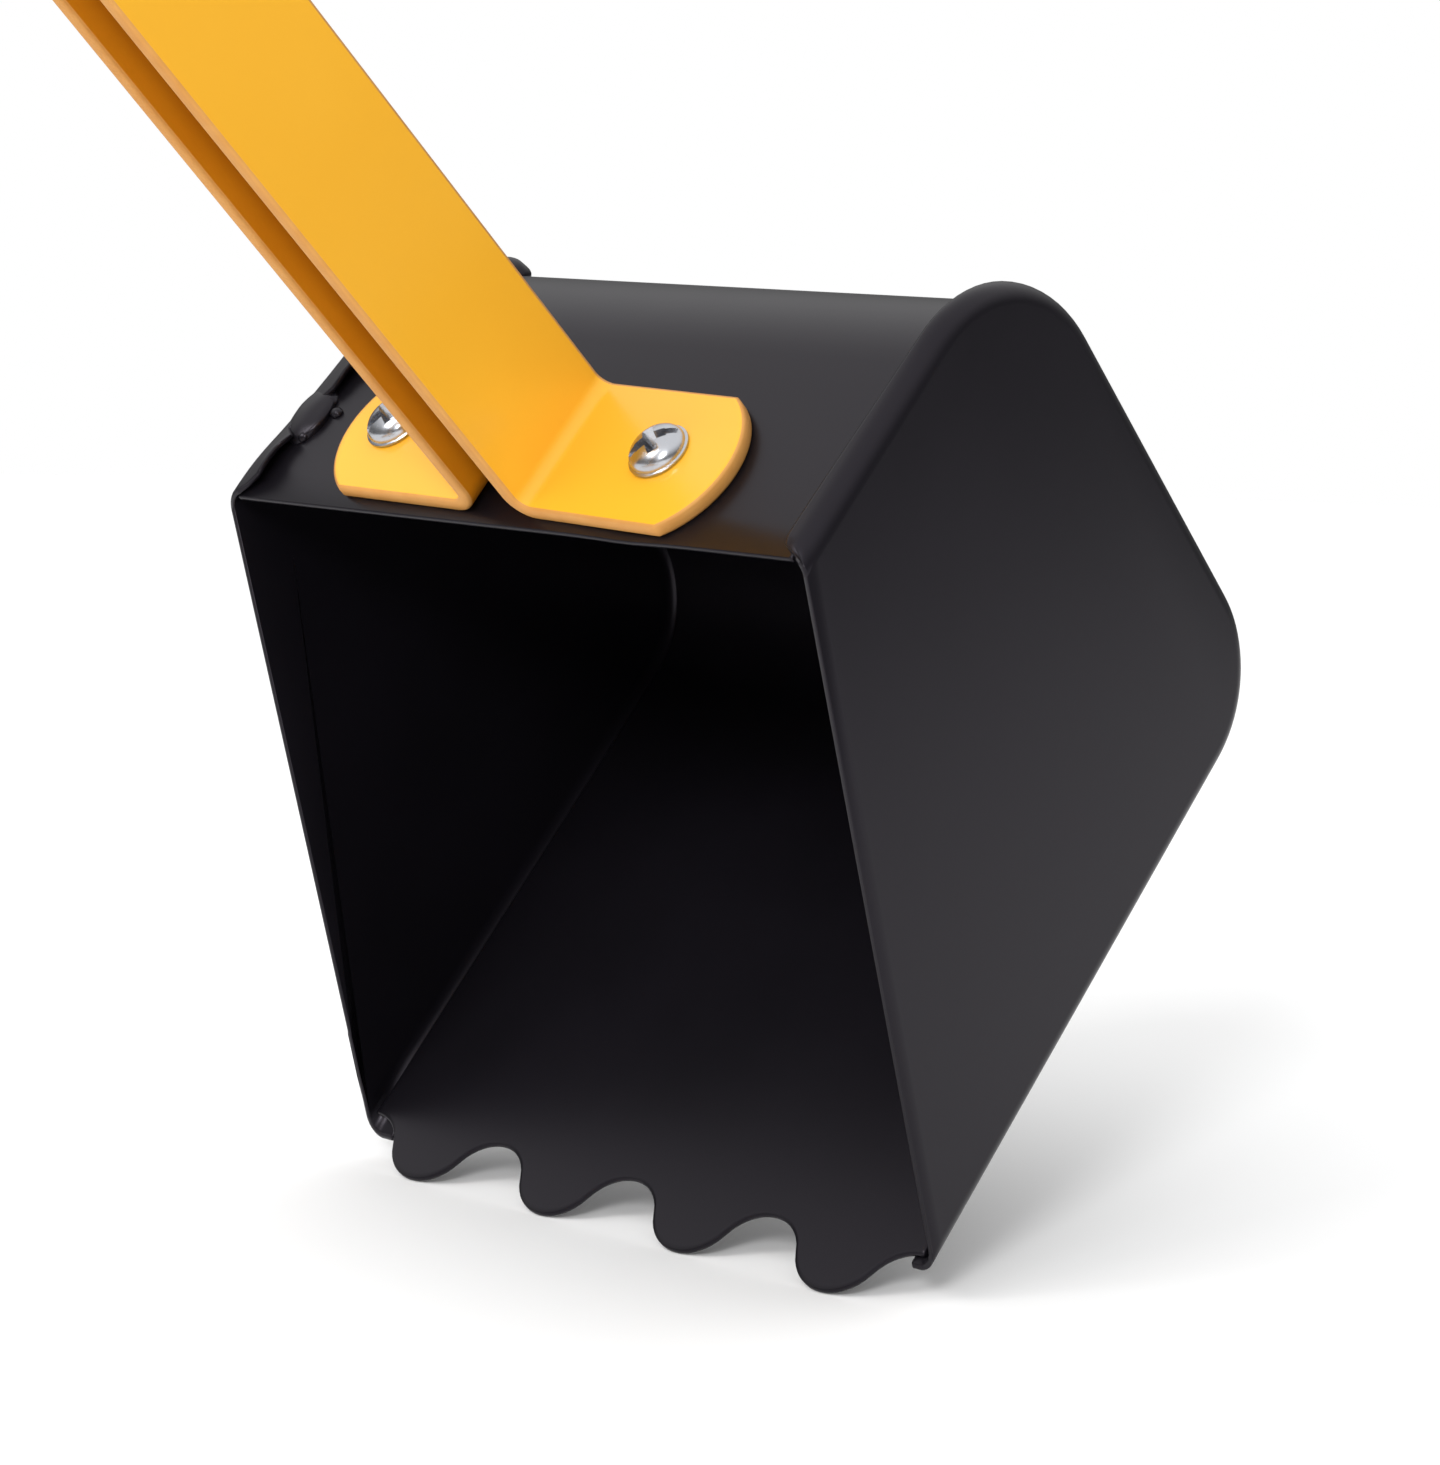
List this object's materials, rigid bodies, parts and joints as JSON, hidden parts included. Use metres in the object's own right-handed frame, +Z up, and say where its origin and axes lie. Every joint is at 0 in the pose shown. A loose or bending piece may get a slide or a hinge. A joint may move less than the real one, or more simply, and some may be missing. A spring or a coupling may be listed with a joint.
{
  "type": "ride-on sand digger",
  "caption": "Child's ride-on sand digger: turning seat beam on a four-legged stand, hand-lever boom and stick, and a pressed steel bucket with rolled rims and scalloped edge.",
  "frame": {"origin": "on the floor under the turning axis, at the base plate's lower face", "axes": "+X forward to the bucket, +Y to the operator's left, +Z up"},
  "size_m": [1.0349, 0.4922, 0.6635],
  "materials": {
    "yellow_powder_coat": "gloss powder coat on steel",
    "black_powder_coat": "satin black powder coat on sheet steel",
    "black_plastic": "moulded, fine grain",
    "grip_rubber": "soft matt",
    "nylon": "natural",
    "zinc_steel": "bright zinc plate"
  },
  "bodies": {
    "stand": {"base_plate": "yellow_powder_coat", "leg_front_left": "yellow_powder_coat", "leg_front_right": "yellow_powder_coat", "leg_rear_left": "yellow_powder_coat", "leg_rear_right": "yellow_powder_coat", "leg_end_caps": "black_plastic", "post": "yellow_powder_coat", "post_collar": "yellow_powder_coat", "post_plug": "zinc_steel", "post_washer": "zinc_steel", "post_bolt": "zinc_steel"},
    "turntable": {"turning_sleeve": "yellow_powder_coat", "lower_bush": "nylon", "upper_bush": "nylon", "main_beam": "yellow_powder_coat", "beam_end_caps": "black_plastic", "boom_bracket": "yellow_powder_coat", "boom_bracket_bolts": "zinc_steel", "boom_pivot_bolt": "zinc_steel", "boom_pivot_nut": "zinc_steel", "boom_pivot_washers": "nylon", "seat_bracket": "yellow_powder_coat", "seat_bracket_bolts": "zinc_steel", "seat": "black_plastic", "seat_bolts": "zinc_steel", "footrest_stem": "yellow_powder_coat", "footrest_bar": "yellow_powder_coat", "footrest_sleeves": "grip_rubber"},
    "boom": {"boom_bar_left": "yellow_powder_coat", "boom_bar_right": "yellow_powder_coat", "boom_lever_plate": "yellow_powder_coat", "boom_lever_bolts": "zinc_steel", "boom_lever_tube": "yellow_powder_coat", "boom_lever_grip": "grip_rubber", "elbow_bolt": "zinc_steel", "elbow_nut": "zinc_steel", "elbow_washers": "nylon", "lever_washers": "nylon"},
    "stick_lever": {"stick_lever_plate_left": "yellow_powder_coat", "stick_lever_plate_right": "yellow_powder_coat", "stick_lever_spacer": "zinc_steel", "stick_lever_tube": "yellow_powder_coat", "stick_lever_grip": "grip_rubber", "link_rear_bolt": "zinc_steel", "link_rear_nut": "zinc_steel"},
    "link": {"link_bar": "yellow_powder_coat", "link_washers": "nylon"},
    "stick": {"stick_bar_left": "yellow_powder_coat", "stick_bar_right": "yellow_powder_coat", "elbow_spacer": "zinc_steel", "link_front_bolt": "zinc_steel", "link_front_nut": "zinc_steel", "bucket_shell": "black_powder_coat", "bucket_side_left": "black_powder_coat", "bucket_side_right": "black_powder_coat", "bucket_screws": "zinc_steel", "bucket_nuts": "zinc_steel"}
  },
  "joints": [
    {"name": "turn", "type": "hinge", "parent": "stand", "child": "turntable", "pos_m": [0, 0, 0.15], "axis": [0, 0, 1], "continuous": true},
    {"name": "boom_lift", "type": "hinge", "parent": "turntable", "child": "boom", "pos_m": [0.13, 0, 0.3], "axis": [0, -1, 0], "range_deg": [-20, 30]},
    {"name": "stick_curl", "type": "hinge", "parent": "boom", "child": "stick", "pos_m": [0.40189, 0, 0.42679], "axis": [0, 1, 0], "range_deg": [-10, 50]},
    {"name": "stick_lever_swing", "type": "hinge", "parent": "boom", "child": "stick_lever", "pos_m": [0.13, 0, 0.3], "axis": [0, 1, 0], "range_deg": [-11, 51]},
    {"name": "link_swing", "type": "hinge", "parent": "stick_lever", "child": "link", "pos_m": [0.08404, 0, 0.34596], "axis": [0, 1, 0], "range_deg": [-51, 11]}
  ],
  "couplings": [
    {"joint": "stick_lever_swing", "follows": "stick_curl", "ratio": 1},
    {"joint": "link_swing", "follows": "stick_curl", "ratio": -1}
  ]
}
